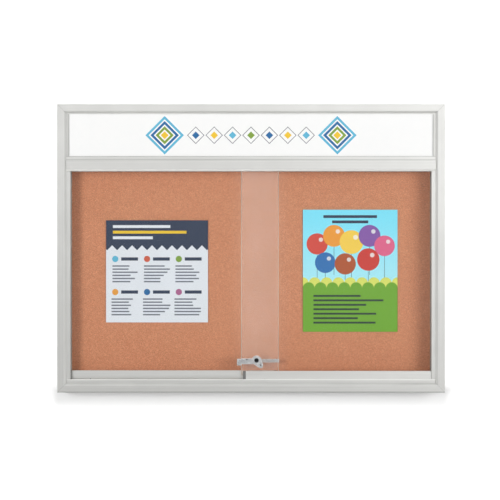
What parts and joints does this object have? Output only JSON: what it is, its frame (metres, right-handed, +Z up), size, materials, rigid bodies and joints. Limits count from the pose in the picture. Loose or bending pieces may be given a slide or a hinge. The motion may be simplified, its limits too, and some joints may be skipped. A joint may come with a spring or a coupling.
{
  "type": "enclosed notice board",
  "caption": "Wall-hung aluminium notice case with a header panel, a cork back and bypassing glass doors on rollers, held shut by a keyed lock on a notched bar.",
  "frame": {"origin": "middle of the back of the case, on the wall plane, at the centre of the wall rails' screws", "axes": "+X to the right as seen from the front, +Y into the wall, +Z up"},
  "size_m": [1.2192, 0.1016, 0.9064],
  "materials": {
    "satin_aluminium": "satin anodised",
    "mill_aluminium": "mill",
    "zinc_steel": "zinc plated",
    "fibreboard": "plain",
    "cork": "fine granular cork",
    "paper_left": "printed",
    "paper_right": "printed",
    "white_acrylic": "printed",
    "glass": "clear, polished edges",
    "clear_vinyl": "soft",
    "black_nylon": "moulded",
    "white_nylon": "turned",
    "black_rubber": "moulded",
    "chrome": "bright",
    "dark_plug": "blackened"
  },
  "bodies": {
    "case": {"frame_top": "satin_aluminium", "frame_bottom": "satin_aluminium", "frame_left": "satin_aluminium", "frame_right": "satin_aluminium", "corner_keys": "zinc_steel", "wall_rail_upper": "mill_aluminium", "wall_rail_lower": "mill_aluminium", "hanger_rail_upper": "mill_aluminium", "hanger_rail_lower": "mill_aluminium", "hanger_screws": "zinc_steel", "backing_board": "fibreboard", "cork_sheet": "cork", "notice_left": "paper_left", "notice_right": "paper_right", "divider_rail": "satin_aluminium", "divider_brackets": "zinc_steel", "divider_screws": "zinc_steel", "header_panel": "white_acrylic", "header_channel_left": "satin_aluminium", "header_channel_right": "satin_aluminium", "header_channel_top": "satin_aluminium", "upper_track": "satin_aluminium", "upper_track_screws": "zinc_steel", "lower_track": "satin_aluminium", "lower_track_screws": "zinc_steel", "jamb_left": "satin_aluminium", "jamb_right": "satin_aluminium", "jamb_bumpers": "black_rubber"},
    "left_door": {"left_door_glass": "glass", "left_door_shoe": "satin_aluminium", "left_door_caps": "black_nylon", "left_door_gasket": "clear_vinyl", "left_door_axles": "zinc_steel", "lock_bar": "chrome", "lock_bar_pad": "clear_vinyl"},
    "left_roller_outer": {"left_roller_outer": "white_nylon"},
    "left_roller_inner": {"left_roller_inner": "white_nylon"},
    "right_door": {"right_door_glass": "glass", "right_door_shoe": "satin_aluminium", "right_door_caps": "black_nylon", "right_door_gasket": "clear_vinyl", "right_door_axles": "zinc_steel", "lock_housing": "chrome", "lock_back_plate": "chrome", "lock_clamp_screws": "dark_plug", "lock_cylinder": "chrome"},
    "right_roller_inner": {"right_roller_inner": "white_nylon"},
    "right_roller_outer": {"right_roller_outer": "white_nylon"},
    "key_plug": {"key_plug": "dark_plug"},
    "latch": {"latch_slide": "zinc_steel"}
  },
  "joints": [
    {"name": "left_door_slide", "type": "slide", "parent": "case", "child": "left_door", "axis": [1, 0, 0], "range_m": [0, 0.48]},
    {"name": "right_door_slide", "type": "slide", "parent": "case", "child": "right_door", "axis": [-1, 0, 0], "range_m": [0, 0.5]},
    {"name": "left_roller_outer_spin", "type": "hinge", "parent": "left_door", "child": "left_roller_outer", "pos_m": [-0.5081, -0.0691, -0.41295], "axis": [0, 1, 0], "continuous": true},
    {"name": "left_roller_inner_spin", "type": "hinge", "parent": "left_door", "child": "left_roller_inner", "pos_m": [0.013, -0.0691, -0.41295], "axis": [0, 1, 0], "continuous": true},
    {"name": "right_roller_inner_spin", "type": "hinge", "parent": "right_door", "child": "right_roller_inner", "pos_m": [0.0436, -0.0851, -0.41295], "axis": [0, 1, 0], "continuous": true},
    {"name": "right_roller_outer_spin", "type": "hinge", "parent": "right_door", "child": "right_roller_outer", "pos_m": [0.5081, -0.0851, -0.41295], "axis": [0, 1, 0], "continuous": true},
    {"name": "key_plug_turn", "type": "hinge", "parent": "right_door", "child": "key_plug", "pos_m": [0.0173, -0.095, -0.3528], "axis": [0, 1, 0], "range_deg": [0, 90]},
    {"name": "latch_lift", "type": "slide", "parent": "right_door", "child": "latch", "axis": [0, 0, 1], "range_m": [0, 0.003]}
  ],
  "couplings": [
    {"joint": "left_roller_outer_spin", "follows": "left_door_slide", "rad_per_m": 200},
    {"joint": "left_roller_inner_spin", "follows": "left_door_slide", "rad_per_m": 200},
    {"joint": "right_roller_inner_spin", "follows": "right_door_slide", "rad_per_m": -200},
    {"joint": "right_roller_outer_spin", "follows": "right_door_slide", "rad_per_m": -200},
    {"joint": "latch_lift", "follows": "key_plug_turn", "m_per_rad": 0.0019098}
  ]
}
